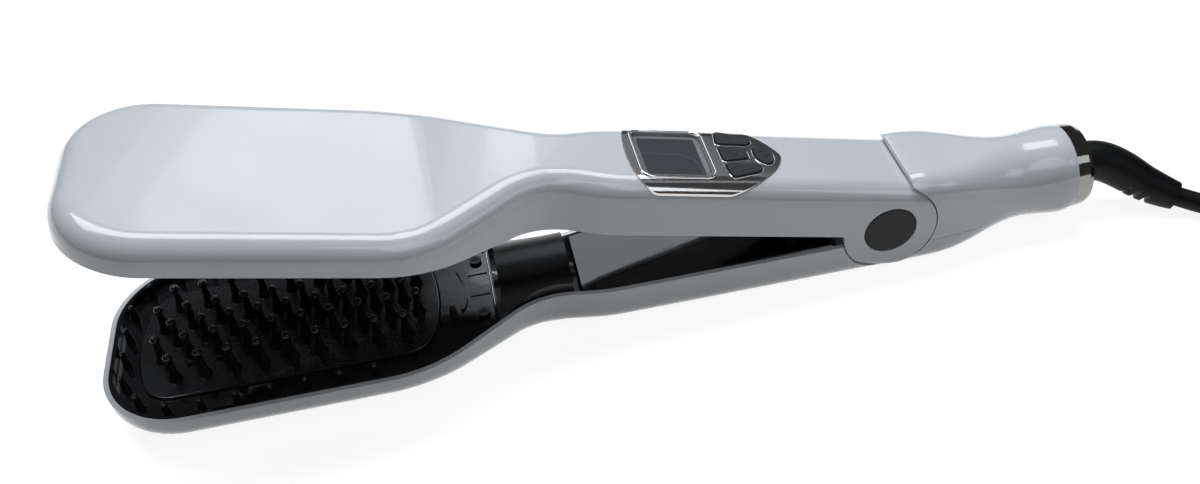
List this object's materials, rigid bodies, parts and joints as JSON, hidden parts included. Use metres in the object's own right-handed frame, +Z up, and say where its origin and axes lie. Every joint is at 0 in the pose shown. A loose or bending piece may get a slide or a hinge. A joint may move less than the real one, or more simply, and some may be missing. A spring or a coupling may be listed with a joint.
{
  "type": "steam hair straightener brush",
  "caption": "Hinged two-arm hair straightener: heated bristle head below, smooth paddle above, lift-out water tank, display with buttons, tail with cord.",
  "frame": {"origin": "on the resting surface, under the middle of the box around the brush without its cord", "axes": "+X along the arms from the bristle head to the cord end, +Z up, +Y across the arms"},
  "size_m": [0.5425, 0.0942, 0.0819],
  "materials": {
    "white_shell": "gloss white moulded casing",
    "black_gloss": "gloss black moulded cover",
    "black_satin": "satin black moulded plastic",
    "heated_plate": "dark coated aluminium plate",
    "bristle": "heat-proof black bristle",
    "chrome_ring": "bright chromed plastic",
    "steel": "plain steel",
    "brass_bush": "plain brass",
    "mica": "mica sheet",
    "inner_plastic": "plain moulded plastic",
    "copper_block": "cast aluminium",
    "silicone": "clear-white silicone tube",
    "rubber_black": "matt black rubber",
    "button_grey": "grey button cap",
    "window": "tinted clear window",
    "board_green": "circuit board"
  },
  "bodies": {
    "lower_arm": {"lower_shell": "white_shell", "tail_cover": "white_shell", "paddle_deck": "black_gloss", "grip_cover": "black_gloss", "plug_body": "black_satin", "heat_pad": "heated_plate", "bristles": "bristle", "guard_pins": "bristle", "end_ring": "chrome_ring", "deck_screws": "steel", "hinge_pin": "steel", "opening_spring": "steel", "clamp_screws": "steel", "plug_pins": "steel", "thermal_cutout": "steel", "heater_insulation": "mica", "tank_dock": "inner_plastic", "pump": "inner_plastic", "terminal_block": "inner_plastic", "cord_clamp": "inner_plastic", "boiler": "copper_block", "brush_heater": "copper_block", "water_tubes": "silicone", "steam_tube": "silicone", "strain_relief": "rubber_black", "inner_lead": "rubber_black", "power_cord": "rubber_black", "cord_coil": "rubber_black", "cord_tie": "rubber_black", "plug_lead": "rubber_black"},
    "upper_arm": {"upper_shell": "white_shell", "upper_liner": "black_satin", "upper_grip_cover": "black_gloss", "cover_screws": "steel", "hinge_bushes": "brass_bush", "hinge_cap_near": "black_satin", "hinge_cap_far": "black_satin", "display_bezel": "chrome_ring", "display_window": "window", "lcd_module": "black_satin", "control_board": "board_green", "keypad_switches": "inner_plastic"},
    "water_tank": {"water_tank": "black_satin", "tank_stopper": "rubber_black", "tank_seal": "silicone"},
    "button_plus": {"button_plus": "button_grey"},
    "button_minus": {"button_minus": "button_grey"},
    "button_mode": {"button_mode": "button_grey"},
    "button_power": {"button_power": "button_grey"}
  },
  "joints": [
    {"name": "arm_hinge", "type": "hinge", "parent": "lower_arm", "child": "upper_arm", "pos_m": [0.0855, 0, 0.0175], "axis": [0, -1, 0], "range_deg": [0, 14.3], "stiffness_Nm_per_rad": 0.6, "springref_deg": -34.38},
    {"name": "tank_lift", "type": "slide", "parent": "lower_arm", "child": "water_tank", "axis": [0, 0, -1], "range_m": [-0.01, 0]},
    {"name": "button_plus_press", "type": "slide", "parent": "upper_arm", "child": "button_plus", "axis": [-0.247, 0, -0.969], "range_m": [0, 0.0008], "stiffness_N_per_m": 800, "springref_m": -0.001},
    {"name": "button_minus_press", "type": "slide", "parent": "upper_arm", "child": "button_minus", "axis": [-0.247, 0, -0.969], "range_m": [0, 0.0008], "stiffness_N_per_m": 800, "springref_m": -0.001},
    {"name": "button_mode_press", "type": "slide", "parent": "upper_arm", "child": "button_mode", "axis": [-0.247, 0, -0.969], "range_m": [0, 0.0008], "stiffness_N_per_m": 800, "springref_m": -0.001},
    {"name": "button_power_press", "type": "slide", "parent": "upper_arm", "child": "button_power", "axis": [-0.247, 0, -0.969], "range_m": [0, 0.0008], "stiffness_N_per_m": 800, "springref_m": -0.001}
  ]
}
